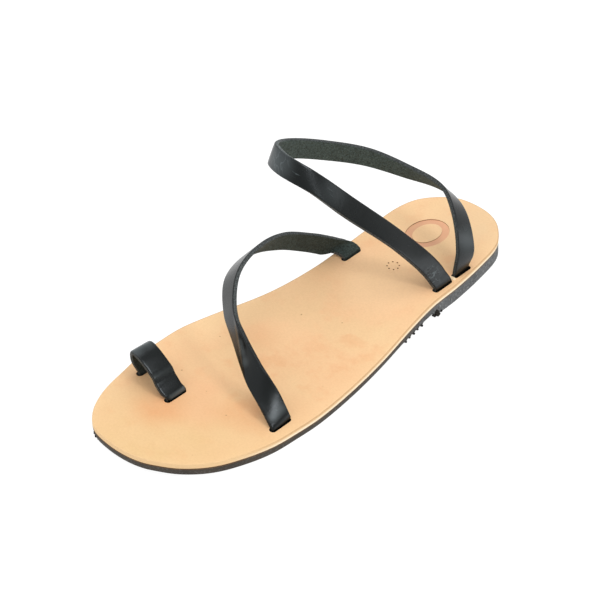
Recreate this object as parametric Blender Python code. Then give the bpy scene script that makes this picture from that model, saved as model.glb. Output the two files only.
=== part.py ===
import math

import bpy
import bmesh
from mathutils import Vector

# Driving sizes, in millimetres. Along runs from the heel back to the toe,
# across runs from the inner side (minus) to the outer side (plus) of a left foot.
mm = 0.001
sole_length = 260.0
leather_thick = 2.7
rubber_thick = 3.7
layer_gap = 0.25
heel_lift = 3.4
heel_breast = 78.0
slope_start = 59.0
slope_end = 151.0
toe_spring = 3.0
spring_start = 204.0
strap_width = 12.0
strap_thick = 2.2
strap_corner = 0.35
strap_step = 3.6
loop_step = 2.5
foot_clear = 0.1
slot_length = 14.0
slot_width = 3.6
slot_sides = 6
slot_lead = 0.3
cut_over = 4.0
groove_depth = 1.2
groove_width = 2.2
groove_rim = 6.5
sole_sections = 60

# Sole outline: distance from the heel back, inner edge and outer edge
outline = [
    # along, inner, outer
    (0.0, 4.5, 4.5),
    (1.0, -5.0, 12.5),
    (4.0, -11.0, 19.5),
    (9.0, -17.0, 26.0),
    (19.0, -23.5, 33.5),
    (34.0, -26.0, 37.0),
    (59.0, -24.5, 40.0),
    (79.0, -23.5, 41.0),
    (99.0, -23.5, 43.5),
    (126.0, -27.0, 48.5),
    (156.0, -35.0, 52.5),
    (176.0, -39.5, 54.0),
    (190.0, -40.0, 53.5),
    (205.0, -39.0, 52.0),
    (220.0, -36.0, 48.0),
    (235.0, -32.0, 41.5),
    (247.0, -26.5, 32.0),
    (254.0, -20.5, 23.0),
    (257.0, -16.5, 17.5),
    (259.0, -10.5, 11.0),
    (260.0, 1.0, 1.0),
]

# Toe loop: centre line, and the lean of the strap from its front edge to its rear edge
toe_rows = [
    # along, across, height, lean_along, lean_across, lean_up
    (214.0, -5.0, 1.0, -1.0, 0.0, 0.0),
    (215.0, -7.5, 3.5, -1.0, 0.1, 0.0),
    (214.5, -15.0, 10.5, -1.0, 0.1, 0.0),
    (215.0, -21.5, 16.0, -1.0, 0.1, 0.0),
    (215.0, -26.0, 17.5, -1.0, 0.1, 0.0),
    (214.0, -29.0, 14.5, -1.0, 0.0, 0.0),
    (212.5, -30.0, 8.0, -1.0, 0.0, 0.0),
    (210.0, -29.0, 1.0, -1.0, 0.0, 0.0),
]

# Forefoot strap: outer slot, over the toes' roots, back along the inner side
forefoot_rows = [
    # along, across, height, lean_along, lean_across, lean_up
    (194.0, 45.5, 1.0, -1.0, 0.0, 0.0),
    (192.5, 37.0, 8.5, -1.0, 0.1, 0.7),
    (191.0, 25.0, 17.5, -0.6, 0.3, 1.0),
    (185.0, 9.5, 26.0, 0.0, 0.6, 1.0),
    (177.0, -4.5, 31.0, 0.1, 0.9, 1.0),
    (161.0, -18.5, 35.5, -0.1, 1.0, 1.0),
    (138.0, -26.5, 33.5, 0.0, 0.8, 1.0),
    (115.5, -30.0, 24.0, -0.2, 0.4, 1.0),
    (97.5, -27.5, 13.5, -0.4, 0.4, 1.0),
    (85.5, -25.0, 6.0, -1.0, 0.5, 0.9),
    (78.5, -21.5, 3.5, -1.0, 0.2, 0.3),
    (77.5, -16.5, 1.0, -1.0, 0.0, 0.0),
]

# Ankle strap: front heel slot, up over the instep, back round the ankle, rear heel slot
ankle_rows = [
    # along, across, height, lean_along, lean_across, lean_up
    (65.0, 35.0, 1.0, -1.0, 0.0, 0.0),
    (69.0, 29.5, 10.5, -1.0, -0.2, 0.2),
    (82.5, 18.0, 30.5, -1.0, -0.5, 0.3),
    (100.0, 1.0, 52.0, -1.0, -0.6, 0.7),
    (112.0, -11.5, 67.5, -0.7, -0.6, 1.0),
    (118.5, -25.0, 75.0, -0.5, -0.3, 1.0),
    (113.5, -36.0, 74.0, -0.3, 0.0, 1.0),
    (97.0, -41.5, 65.0, -0.2, 0.2, 1.0),
    (75.5, -39.0, 53.5, -0.2, 0.3, 1.0),
    (53.0, -29.0, 42.5, 0.0, 0.3, 1.0),
    (42.5, -11.5, 37.0, 0.3, 0.4, 1.0),
    (37.5, 9.5, 34.0, 0.9, 0.5, 1.0),
    (41.0, 23.5, 28.0, 1.0, 0.1, 0.5),
    (47.5, 34.5, 14.0, 1.0, -0.1, 0.3),
    (49.5, 34.5, 1.0, 1.0, 0.0, 0.0),
]

# Each strap foot has a slot, whose middle lies a little ahead of it and to its outer side
slots = [(row[0] + slot_lead, row[1] + slot_lead)
         for rows in (toe_rows, forefoot_rows, ankle_rows) for row in (rows[0], rows[-1])]

# Underside: ribs across the waist and one bar behind the ball of the foot
waist_rib_first = 87.0
waist_rib_last = 105.0
waist_rib_pitch = 3.6
waist_rib_height = 1.5
ball_bar_at = 154.0
ball_bar_width = 3.6
step_run = 0.5
station_clear = 1.2
forefoot_groove_first = 161.0
forefoot_groove_last = 221.0
forefoot_groove_pitch = 7.5
heel_groove_first = 14.0
heel_groove_last = 68.0
heel_groove_pitch = 9.0


def ease(value):
    value = max(0.0, min(1.0, value))
    return value * value * (3.0 - 2.0 * value)


def through(rows, keys, at):
    """Smooth curve through rows at the rising keys."""
    last = len(rows) - 1
    span = max(i for i in range(last) if keys[i] <= at or i == 0)
    here, there = rows[span], rows[span + 1]
    step = keys[span + 1] - keys[span]
    part = (at - keys[span]) / step
    before = rows[span - 1] if span else here
    after = rows[span + 2] if span + 2 <= last else there
    low = keys[span + 1] - (keys[span - 1] if span else keys[span])
    high = (keys[span + 2] if span + 2 <= last else keys[span + 1]) - keys[span]
    start = (there - before) * (step / low)
    end = (after - here) * (step / high)
    two, three = part * part, part * part * part
    return (here * (2 * three - 3 * two + 1) + start * (three - 2 * two + part)
            + there * (3 * two - 2 * three) + end * (three - two))


def turn_of(along):
    return math.acos(1.0 - 2.0 * max(0.0, min(1.0, along / sole_length))) / math.pi


outline_turns = [turn_of(row[0]) for row in outline]
outline_edges = [Vector((row[1], row[2])) for row in outline]


def edges_at(along):
    return through(outline_edges, outline_turns, turn_of(along))


def spring_at(along):
    reach = max(0.0, (along - spring_start) / (sole_length - spring_start))
    return toe_spring * reach * reach


def rubber_top(along):
    drop = ease((along - slope_start) / (slope_end - slope_start))
    return rubber_thick + heel_lift * (1.0 - drop) + spring_at(along)


def leather_top(along):
    return rubber_top(along) + layer_gap + leather_thick


def place(along, across, height):
    return Vector((across * mm, (sole_length / 2.0 - along) * mm, height * mm))


def add_object(name, mesh_data, group, material=None):
    mesh = bpy.data.meshes.new(name)
    mesh_data.to_mesh(mesh)
    mesh_data.free()
    made = bpy.data.objects.new(name, mesh)
    group.objects.link(made)
    if material:
        mesh.materials.append(material)
    return made


def make_material(name, colour, roughness):
    material = bpy.data.materials.new(name)
    material.use_nodes = True
    shader = material.node_tree.nodes["Principled BSDF"]
    shader.inputs["Base Color"].default_value = (*colour, 1.0)
    shader.inputs["Roughness"].default_value = roughness
    return material


def skin_rings(work, rings):
    """Join equal rings of corners, and close the two ends."""
    count = len(rings[0])
    for first, second in zip(rings, rings[1:]):
        for i in range(count):
            j = (i + 1) % count
            corners = []
            for corner in (first[i], first[j], second[j], second[i]):
                if corner not in corners:
                    corners.append(corner)
            if len(corners) > 2:
                work.faces.new(corners)
    for ring in (rings[0], rings[-1]):
        if len(set(ring)) > 2:
            work.faces.new(ring)
    bmesh.ops.recalc_face_normals(work, faces=work.faces)


def layer_mesh(stations, top_of, bottom_of):
    """One flat layer of the sole, from its stations, tops and bottoms."""
    work = bmesh.new()
    rings = []
    for along in stations:
        inner, outer = edges_at(along)
        top, bottom = top_of(along), bottom_of(along)
        tip = along <= 0.0 or along >= sole_length
        if tip:
            upper = work.verts.new(place(along, inner, top))
            lower = work.verts.new(place(along, inner, bottom))
            rings.append([upper, upper, lower, lower])
        else:
            sides = ((inner, top), (outer, top), (outer, bottom), (inner, bottom))
            rings.append([work.verts.new(place(along, x, z)) for x, z in sides])
    skin_rings(work, rings)
    return work


def even_stations():
    return [sole_length * (1.0 - math.cos(math.pi * i / sole_sections)) / 2.0
            for i in range(sole_sections + 1)]


def waist_bottom(along):
    return rubber_top(along) - rubber_thick


def rubber_bottom(along):
    if along <= heel_breast:
        return 0.0
    low = waist_bottom(along)
    first, last = waist_rib_first, waist_rib_last
    if first <= along <= last:
        phase = (along - first) / waist_rib_pitch
        ridge = 1.0 - abs(2.0 * (phase - math.floor(phase)) - 1.0)
        low -= waist_rib_height * ridge
    if abs(along - ball_bar_at) < ball_bar_width / 2.0:
        low = 0.0
    return max(0.0, low)


def rubber_stations():
    marks = [heel_breast, heel_breast + step_run]
    ribs = int(round((waist_rib_last - waist_rib_first) / waist_rib_pitch))
    for i in range(2 * ribs + 1):
        marks.append(waist_rib_first + i * waist_rib_pitch / 2.0)
    for side in (-1.0, 1.0):
        edge = ball_bar_at + side * ball_bar_width / 2.0
        marks += [edge - side * step_run / 4.0, edge + side * step_run]
    kept = [s for s in even_stations() if min(abs(s - m) for m in marks) > station_clear
            and not waist_rib_first < s < waist_rib_last]
    return sorted(kept + marks)


def box_corners(work, along, across, length, width, low, high):
    corners = []
    for z in (low, high):
        for s, x in ((-1, -1), (1, -1), (1, 1), (-1, 1)):
            spot = place(along + s * length / 2.0, across + x * width / 2.0, z)
            corners.append(work.verts.new(spot))
    for face in ((0, 1, 2, 3), (7, 6, 5, 4), (0, 4, 5, 1), (1, 5, 6, 2),
                 (2, 6, 7, 3), (3, 7, 4, 0)):
        work.faces.new([corners[i] for i in face])


def groove_cutter(first, last, pitch):
    work = bmesh.new()
    along = first
    while along <= last + 0.01:
        inner, outer = edges_at(along)
        width = outer - inner - 2.0 * groove_rim
        box_corners(work, along, (inner + outer) / 2.0, groove_width, width, -cut_over,
                    groove_depth)
        along += pitch
    bmesh.ops.recalc_face_normals(work, faces=work.faces)
    return work


def slot_cutter():
    work = bmesh.new()
    for along, across in slots:
        radius = slot_width / 2.0
        straight = slot_length / 2.0 - radius
        ring = []
        for end, start in ((1.0, -90.0), (-1.0, 90.0)):
            for i in range(slot_sides + 1):
                angle = math.radians(start + 180.0 * i / slot_sides)
                ring.append((along + end * straight + radius * math.cos(angle),
                             across + radius * math.sin(angle)))
        low, high = -cut_over, leather_top(along) + cut_over
        rings = [[work.verts.new(place(s, x, z)) for s, x in ring] for z in (low, high)]
        skin_rings(work, rings)
    bmesh.ops.recalc_face_normals(work, faces=work.faces)
    return work


def strap_mesh(rows, steps):
    """A flat strap: rounded rectangle carried along the rows, standing in its slots."""
    work = bmesh.new()
    centres = [Vector((r[0], r[1], leather_top(r[0]) + r[2])) for r in rows]
    leans = [Vector(r[3:6]).normalized() for r in rows]
    keys = [0.0]
    for first, second in zip(centres, centres[1:]):
        keys.append(keys[-1] + (second - first).length)
    path, edge = [], []
    count = int(round(keys[-1] / steps))
    for i in range(count + 1):
        at = keys[-1] * i / count
        path.append(through(centres, keys, at))
        edge.append(through(leans, keys, at).normalized())
    foot = Vector((0.0, 0.0, leather_thick + rows[0][2] - foot_clear))
    path = [path[0] - foot] + path + [path[-1] - foot]
    edge = [edge[0]] + edge + [edge[-1]]
    half_width, half_thick = strap_width / 2.0, strap_thick / 2.0
    cut = strap_corner
    profile = ((-half_width + cut, -half_thick), (half_width - cut, -half_thick),
               (half_width, -half_thick + cut), (half_width, half_thick - cut),
               (half_width - cut, half_thick), (-half_width + cut, half_thick),
               (-half_width, half_thick - cut), (-half_width, -half_thick + cut))
    rings = []
    for i, centre in enumerate(path):
        ahead = path[min(i + 1, len(path) - 1)] - path[max(i - 1, 0)]
        if i in (0, 1, len(path) - 2, len(path) - 1):
            ahead = Vector((0.0, 0.0, 1.0 if i < 2 else -1.0))
        ahead.normalize()
        wide = edge[i]
        thick = ahead.cross(wide).normalized()
        ring = []
        for w, t in profile:
            spot = centre + wide * w + thick * t
            ring.append(work.verts.new(place(*spot)))
        rings.append(ring)
    skin_rings(work, rings)
    return work


def cut_with(target, cutter):
    cut = target.modifiers.new(cutter.name, "BOOLEAN")
    cut.operation = "DIFFERENCE"
    cut.solver = "EXACT"
    cut.object = cutter


for old in list(bpy.data.objects):
    bpy.data.objects.remove(old, do_unlink=True)

sandal = bpy.data.collections.new("strappy_sandal")
cutters = bpy.data.collections.new("cutters")
bpy.context.scene.collection.children.link(sandal)
bpy.context.scene.collection.children.link(cutters)

rubber = make_material("dark_rubber", (0.09, 0.085, 0.08), 0.8)
tan = make_material("tan_leather", (0.88, 0.58, 0.32), 0.5)
black = make_material("black_leather", (0.02, 0.022, 0.025), 0.4)

outsole = add_object("outsole", layer_mesh(rubber_stations(), rubber_top, rubber_bottom),
                     sandal, rubber)
footbed = add_object("footbed", layer_mesh(even_stations(), leather_top,
                                           lambda s: leather_top(s) - leather_thick),
                     sandal, tan)
toe_loop = add_object("toe_loop", strap_mesh(toe_rows, loop_step), sandal, black)
forefoot_strap = add_object("forefoot_strap", strap_mesh(forefoot_rows, strap_step), sandal,
                            black)
ankle_strap = add_object("ankle_strap", strap_mesh(ankle_rows, strap_step), sandal, black)

slot_cuts = add_object("slot_cuts", slot_cutter(), cutters)
forefoot_cuts = add_object(
    "forefoot_cuts",
    groove_cutter(forefoot_groove_first, forefoot_groove_last, forefoot_groove_pitch), cutters)
heel_cuts = add_object(
    "heel_cuts", groove_cutter(heel_groove_first, heel_groove_last, heel_groove_pitch), cutters)
cut_with(footbed, slot_cuts)
cut_with(outsole, forefoot_cuts)
cut_with(outsole, heel_cuts)
for cutter in cutters.objects:
    cutter.hide_render = True
    cutter.display_type = "WIRE"

# Centre the whole on its own box, with the lowest point on the floor
spots = [v.co for made in sandal.objects for v in made.data.vertices]
low = Vector([min(s[i] for s in spots) for i in range(3)])
high = Vector([max(s[i] for s in spots) for i in range(3)])
shift = Vector((-(low.x + high.x) / 2.0, -(low.y + high.y) / 2.0, -low.z))
for made in list(sandal.objects) + list(cutters.objects):
    for vertex in made.data.vertices:
        vertex.co += shift
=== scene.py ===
import math
import bpy
import bmesh
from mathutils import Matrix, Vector, noise


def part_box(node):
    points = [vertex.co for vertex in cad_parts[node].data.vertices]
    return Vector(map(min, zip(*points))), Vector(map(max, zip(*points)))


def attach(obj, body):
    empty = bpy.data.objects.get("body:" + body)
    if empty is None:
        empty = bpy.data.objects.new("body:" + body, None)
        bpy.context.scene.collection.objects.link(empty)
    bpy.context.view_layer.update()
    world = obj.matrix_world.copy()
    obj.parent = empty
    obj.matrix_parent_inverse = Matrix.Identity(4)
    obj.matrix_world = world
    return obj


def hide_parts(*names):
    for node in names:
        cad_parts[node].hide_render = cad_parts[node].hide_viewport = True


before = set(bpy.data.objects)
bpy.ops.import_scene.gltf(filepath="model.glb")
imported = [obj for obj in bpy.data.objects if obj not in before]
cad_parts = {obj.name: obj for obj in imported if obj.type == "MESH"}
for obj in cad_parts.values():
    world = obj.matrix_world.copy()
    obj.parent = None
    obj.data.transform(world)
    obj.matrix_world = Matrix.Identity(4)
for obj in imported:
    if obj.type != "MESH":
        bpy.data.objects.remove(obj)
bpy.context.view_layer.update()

mm = 0.001
scene = bpy.context.scene


# node helpers

class Wire:
    def __init__(self, nest, socket):
        self.nest, self.socket = nest, socket

    def calc(self, kind, first, second):
        return self.nest.add("ShaderNodeMath", {"operation": kind}, {0: first, 1: second})

    def __add__(self, other):
        return self.calc("ADD", self, other)

    def __sub__(self, other):
        return self.calc("SUBTRACT", self, other)

    def __rsub__(self, other):
        return self.calc("SUBTRACT", other, self)

    def __mul__(self, other):
        return self.calc("MULTIPLY", self, other)

    __radd__, __rmul__ = __add__, __mul__


class Nest:
    def __init__(self, tree):
        self.tree = tree

    def add(self, kind, settings=None, sockets=None, out=0):
        node = self.tree.nodes.new(kind)
        for key, value in (settings or {}).items():
            setattr(node, key, value)
        for key, value in (sockets or {}).items():
            if isinstance(value, Wire):
                self.tree.links.new(value.socket, node.inputs[key])
            elif value is not None:
                node.inputs[key].default_value = value
        return Wire(self, node.outputs[out]) if len(node.outputs) else node

    def objectAt(self):
        return self.add("ShaderNodeTexCoord", out="Object")

    def scaled(self, spot, scale):
        return self.add("ShaderNodeMapping", {}, {"Vector": spot, "Scale": scale})

    def speck(self, spot, scale, detail=3.0, rough=0.55):
        return self.add("ShaderNodeTexNoise", {}, {"Vector": spot, "Scale": scale,
                                                   "Detail": detail, "Roughness": rough})

    def cells(self, spot, scale):
        return self.add("ShaderNodeTexVoronoi", {}, {"Vector": spot, "Scale": scale}, "Distance")

    def band(self, value, low, high, toLow=0.0, toHigh=1.0):
        return self.add("ShaderNodeMapRange", {"interpolation_type": "SMOOTHSTEP"},
                        {0: value, 1: low, 2: high, 3: toLow, 4: toHigh})

    def tint(self, factor, first, second):
        return self.add("ShaderNodeMix", {"data_type": "RGBA"}, {0: factor, 6: first, 7: second}, 2)

    def near(self, spot, place, reach):
        # soft round spot, full up to a tenth of its reach
        gap = self.add("ShaderNodeVectorMath", {"operation": "DISTANCE"}, {0: spot, 1: place}, "Value")
        return self.band(gap, reach, reach * 0.1)

    def field(self, name):
        return self.add("ShaderNodeAttribute", {"attribute_name": name}, out="Fac")

    def bump(self, height, depth, strength=1.0, under=None):
        return self.add("ShaderNodeBump", {}, {"Height": height, "Distance": depth,
                                               "Strength": strength, "Normal": under})

    def given(self, label):
        return self.add("NodeGroupInput", out=label)

    def named(self, name, kind="FLOAT"):
        return self.add("GeometryNodeInputNamedAttribute", {"data_type": kind}, {"Name": name})

    def toward(self, way):
        return self.add("FunctionNodeAlignRotationToVector", {"axis": "Z"}, {"Vector": way})

    def cone(self, corners, low, top, depth):
        return self.add("GeometryNodeMeshCone", {}, {
            "Vertices": corners, "Side Segments": 1, "Fill Segments": 1,
            "Radius Bottom": low, "Radius Top": top, "Depth": depth})

    def spread(self, points, shape, turn=None, size=None):
        return self.add("GeometryNodeInstanceOnPoints", {}, {
            "Points": points, "Instance": shape, "Rotation": turn, "Scale": size})

    def settle(self, copies):
        # end of a geometry tree
        solid = self.add("GeometryNodeRealizeInstances", {}, {"Geometry": copies})
        solid = self.add("GeometryNodeSetMaterial", {},
                         {"Geometry": solid, "Material": self.given("Finish")})
        self.add("NodeGroupOutput", {}, {"Geometry": solid})


def rgb(red, green, blue):
    parts = [c / 255.0 for c in (red, green, blue)]
    return tuple(c / 12.92 if c < 0.04045 else ((c + 0.055) / 1.055) ** 2.4
                 for c in parts) + (1.0,)


def skin(colour, rough, shine, normal=None):
    return {"Base Color": colour, "Roughness": rough, "Specular IOR Level": shine, "Normal": normal}


def newFinish(name, make):
    finish = bpy.data.materials.new(name)
    finish.use_nodes = True
    finish.node_tree.nodes.clear()
    nest = Nest(finish.node_tree)
    shader = nest.add("ShaderNodeBsdfPrincipled", {}, make(nest))
    nest.add("ShaderNodeOutputMaterial", {}, {"Surface": shader})
    return finish


def newGrowth(name, inputs):
    # geometry tree with named inputs, given as label and socket kind
    tree = bpy.data.node_groups.new(name, "GeometryNodeTree")
    for label, kind in [("Geometry", "Geometry")] + inputs:
        tree.interface.new_socket(label, in_out="INPUT", socket_type="NodeSocket" + kind)
    tree.interface.new_socket("Geometry", in_out="OUTPUT", socket_type="NodeSocketGeometry")
    return tree


def grown(made, tree, values):
    step = made.modifiers.new(tree.name, "NODES")
    step.node_group = tree
    for item in tree.interface.items_tree:
        if item.in_out == "INPUT" and item.name in values:
            step[item.identifier] = values[item.name]
    return applied(made)


# mesh helpers

def toObject(name, work, *finishes):
    mesh = bpy.data.meshes.new(name)
    work.to_mesh(mesh)
    work.free()
    made = bpy.data.objects.new(name, mesh)
    scene.collection.objects.link(made)
    for finish in finishes:
        mesh.materials.append(finish)
    return made


def closedObject(name, work, *finishes):
    bmesh.ops.recalc_face_normals(work, faces=work.faces)
    return toObject(name, work, *finishes)


def applied(made):
    graph = bpy.context.evaluated_depsgraph_get()
    mesh = bpy.data.meshes.new_from_object(made.evaluated_get(graph), preserve_all_data_layers=True,
                                           depsgraph=graph)
    made.modifiers.clear()
    made.data = mesh
    return made


def cutWith(target, *cutters):
    for cutter in cutters:
        cut = target.modifiers.new(cutter.name, "BOOLEAN")
        cut.operation, cut.solver, cut.material_mode = "DIFFERENCE", "EXACT", "TRANSFER"
        cut.object = cutter
    applied(target)
    for cutter in cutters:
        bpy.data.objects.remove(cutter, do_unlink=True)


def smoothShade(made, degrees):
    made.data.shade_smooth()
    made.data.set_sharp_from_angle(angle=math.radians(degrees))


def setField(made, name, valueOf):
    layer = made.data.attributes.new(name, "FLOAT", "POINT")
    layer.data.foreach_set("value", [valueOf(*asShoe(v.co)) for v in made.data.vertices])


# sole shape, in millimetres: along from the heel back, across to the outer side

soleSizes = {
    "length": 260.0, "leather": 2.7, "rubber": 3.7, "gap": 0.25,
    "heelLift": 3.4, "breast": 78.0, "slope": (59.0, 151.0),
    "spring": 3.0, "springStart": 204.0, "sections": 220,
    "outline": [  # along, inner, outer
        (0.0, 4.5, 4.5), (1.0, -5.0, 13.0), (4.0, -11.0, 20.0), (9.0, -17.0, 26.0),
        (19.0, -23.5, 33.2), (34.0, -26.0, 36.8), (59.0, -24.5, 40.0), (79.0, -23.5, 41.0),
        (99.0, -23.5, 44.0), (126.0, -27.0, 49.0), (156.0, -35.0, 53.0), (176.0, -39.5, 54.5),
        (190.0, -40.0, 54.0), (205.0, -39.0, 52.5), (220.0, -36.0, 48.5), (235.0, -32.0, 42.3),
        (247.0, -26.0, 32.9), (254.0, -20.0, 23.4), (257.0, -16.0, 17.9), (259.0, -10.5, 11.3),
        (260.0, 1.0, 1.0)],
}


def ease(value):
    value = max(0.0, min(1.0, value))
    return value * value * (3.0 - 2.0 * value)


def through(rows, keys, at):
    # smooth curve through the rows at rising keys
    last = len(rows) - 1
    span = max(i for i in range(last) if keys[i] <= at or i == 0)
    here, there = rows[span], rows[span + 1]
    step = keys[span + 1] - keys[span]
    part = (at - keys[span]) / step
    before = rows[span - 1] if span else here
    after = rows[span + 2] if span + 2 <= last else there
    low = keys[span + 1] - (keys[span - 1] if span else keys[span])
    high = (keys[span + 2] if span + 2 <= last else keys[span + 1]) - keys[span]
    start, end = (there - before) * (step / low), (after - here) * (step / high)
    two, three = part * part, part * part * part
    return (here * (2 * three - 3 * two + 1) + start * (three - 2 * two + part)
            + there * (3 * two - 2 * three) + end * (three - two))


def turnOf(along):
    return math.acos(1.0 - 2.0 * max(0.0, min(1.0, along / soleSizes["length"]))) / math.pi


outlineTurns = [turnOf(row[0]) for row in soleSizes["outline"]]
outlineEdges = [Vector(row[1:]) for row in soleSizes["outline"]]


def edgesAt(along):
    return through(outlineEdges, outlineTurns, turnOf(along))


def rubberTop(along):
    start = soleSizes["springStart"]
    reach = max(0.0, (along - start) / (soleSizes["length"] - start))
    low, high = soleSizes["slope"]
    lift = soleSizes["heelLift"] * (1.0 - ease((along - low) / (high - low)))
    return soleSizes["rubber"] + lift + soleSizes["spring"] * reach * reach


def leatherTop(along):
    return rubberTop(along) + soleSizes["gap"] + soleSizes["leather"]


def evenStations():
    count = soleSizes["sections"]
    return [soleSizes["length"] * (1.0 - math.cos(math.pi * i / count)) / 2.0 for i in range(count + 1)]


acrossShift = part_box("footbed")[0].x / mm - min(edgesAt(s)[0] for s in evenStations())


def put(along, across, height):
    return Vector(((across + acrossShift) * mm, (soleSizes["length"] / 2.0 - along) * mm, height * mm))


def asShoe(spot):
    return soleSizes["length"] / 2.0 - spot.y / mm, spot.x / mm - acrossShift, spot.z / mm


def rimLoop(stations):
    inner = [(s, edgesAt(s)[0]) for s in stations]
    outer = [(s, edgesAt(s)[1]) for s in stations]
    loop = [Vector(p) for p in inner + outer[-2:0:-1]]
    normals = []
    for i, spot in enumerate(loop):
        ahead = loop[(i + 1) % len(loop)] - loop[i - 1]
        normals.append(Vector((ahead.y, -ahead.x)).normalized())
    middle = sum(loop, Vector((0.0, 0.0))) / len(loop)
    if normals[5].dot(middle - loop[5]) < 0:
        normals = [-n for n in normals]
    return loop, normals


def layerBody(stations, rims, heightAt, tuckAt, columns, wallSlot, underSlot):
    # rims run from the top edge round the wall to the under edge
    loop, normals = rimLoop(stations)
    work = bmesh.new()
    rings = []
    for inset, share, lift in rims:
        ring = []
        for spot, normal in zip(loop, normals):
            place = spot + normal * (inset + share * tuckAt(spot.x))
            ring.append(work.verts.new(put(place.x, place.y, heightAt(place.x, place.y, share) + lift)))
        rings.append(ring)
    for upper, lower in zip(rings, rings[1:]):
        for i in range(len(loop)):
            j = (i + 1) % len(loop)
            work.faces.new((upper[i], upper[j], lower[j], lower[i])).material_index = wallSlot
    last = len(stations) - 1
    for ring, share, slotIndex in ((rings[0], 0.0, 0), (rings[-1], 1.0, underSlot)):
        rows = [[ring[0]] * (columns + 1)]
        for i in range(1, last):
            a, b = ring[i], ring[-i]
            row = [a]
            for c in range(1, columns):
                along, across, _ = asShoe(a.co.lerp(b.co, c / columns))
                row.append(work.verts.new(put(along, across, heightAt(along, across, share))))
            rows.append(row + [b])
        rows.append([ring[last]] * (columns + 1))
        for first, second in zip(rows, rows[1:]):
            for c in range(columns):
                corners = []
                for corner in (first[c], first[c + 1], second[c + 1], second[c]):
                    if corner not in corners:
                        corners.append(corner)
                if len(corners) > 2:
                    work.faces.new(corners).material_index = slotIndex
    bmesh.ops.recalc_face_normals(work, faces=work.faces)
    return work


def stadium(length, width, sides):
    radius, ring = width / 2.0, []
    for end, start in ((1.0, -90.0), (-1.0, 90.0)):
        for i in range(sides + 1):
            angle = math.radians(start + 180.0 * i / sides)
            ring.append((end * (length / 2.0 - radius) + radius * math.cos(angle),
                         radius * math.sin(angle)))
    return ring


def ringTube(work, rings):
    count = len(rings[0])
    for first, second in zip(rings, rings[1:]):
        for i in range(count):
            j = (i + 1) % count
            work.faces.new((first[i], first[j], second[j], second[i]))
    work.faces.new(rings[0])
    work.faces.new(rings[-1])


# black leather straps

strapLook = {
    "grain": rgb(13, 15, 13), "worn": rgb(74, 82, 84), "paintedHighlightTone": rgb(104, 112, 114),
    "flesh": rgb(80, 94, 90), "fleshDark": rgb(42, 48, 44),
    "edge": rgb(138, 146, 147), "edgeDark": rgb(64, 67, 67), "specularTint": (0.92, 1.0, 1.06, 1.0),
    "width": 12.0, "thick": 2.2, "step": 1.2, "crown": 0.12,
    "cornerOut": 0.5, "cornerIn": 0.3, "edgeSwell": 0.03, "edgeMiddle": 0.1,
    "foot": 3.6, "footSteps": 4,  # how far the ends go down into their slots
    "waver": 0.06, "waverFrom": 5.9, "waverPace": (1.7, 0.4, 2.0),  # uneven cut edges
    "fibreSpacing": 0.55, "fibreLength": 0.6, "fibreGirth": 0.05, "fibreTilt": 0.9,
    "fibreSizes": (0.25, 1.0), "fibreGain": 0.45, "fibreSeed": 3, "brimInset": (0.08, 0.25),
    "scuffs": [(118.0, -19.0, 81.0, 7.0)],  # along, across, height, size
    "wrinkles": [(70.5, 30.0, 16.5, 8.5), (121.0, -28.0, 84.0, 9.0)],
    "stretch": [  # painted highlights: along, across, height, size, strength
        (119.5, -30.0, 83.0, 14.0, 0.42), (105.8, -4.5, 69.9, 12.0, 0.12),
        (44.9, 34.2, 27.2, 11.0, 0.25), (187.3, 12.6, 33.0, 4.0, 0.3),
        (188.7, 14.9, 30.2, 4.0, 0.3), (190.5, 18.7, 27.2, 4.0, 0.25)],
    "paintedHighlightRows": [  # rows of painted highlights: first spot, last spot, how many, size, strength
        ((219.0, -28.0, 24.0), (212.0, -28.0, 24.0), 2, 7.0, 0.6),
        ((219.0, -12.7, 16.6), (210.0, -12.0, 16.1), 4, 3.0, 0.1),
        ((197.5, 42.9, 11.1), (189.4, 42.8, 12.5), 4, 4.0, 0.2),
        ((217.5, -3.9, 8.2), (215.5, -3.9, 8.2), 2, 2.2, 0.35),
        ((213.5, -3.9, 8.2), (209.5, -3.9, 8.2), 3, 2.2, 0.4)],
}


def paintedHighlightSpots():
    # painted highlights as lighter spots: along, across, height, size, strength
    spots = list(strapLook["stretch"])
    for first, last, count, size, strength in strapLook["paintedHighlightRows"]:
        for i in range(count):
            spots.append((*Vector(first).lerp(Vector(last), i / (count - 1)), size, strength))
    return spots


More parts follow.
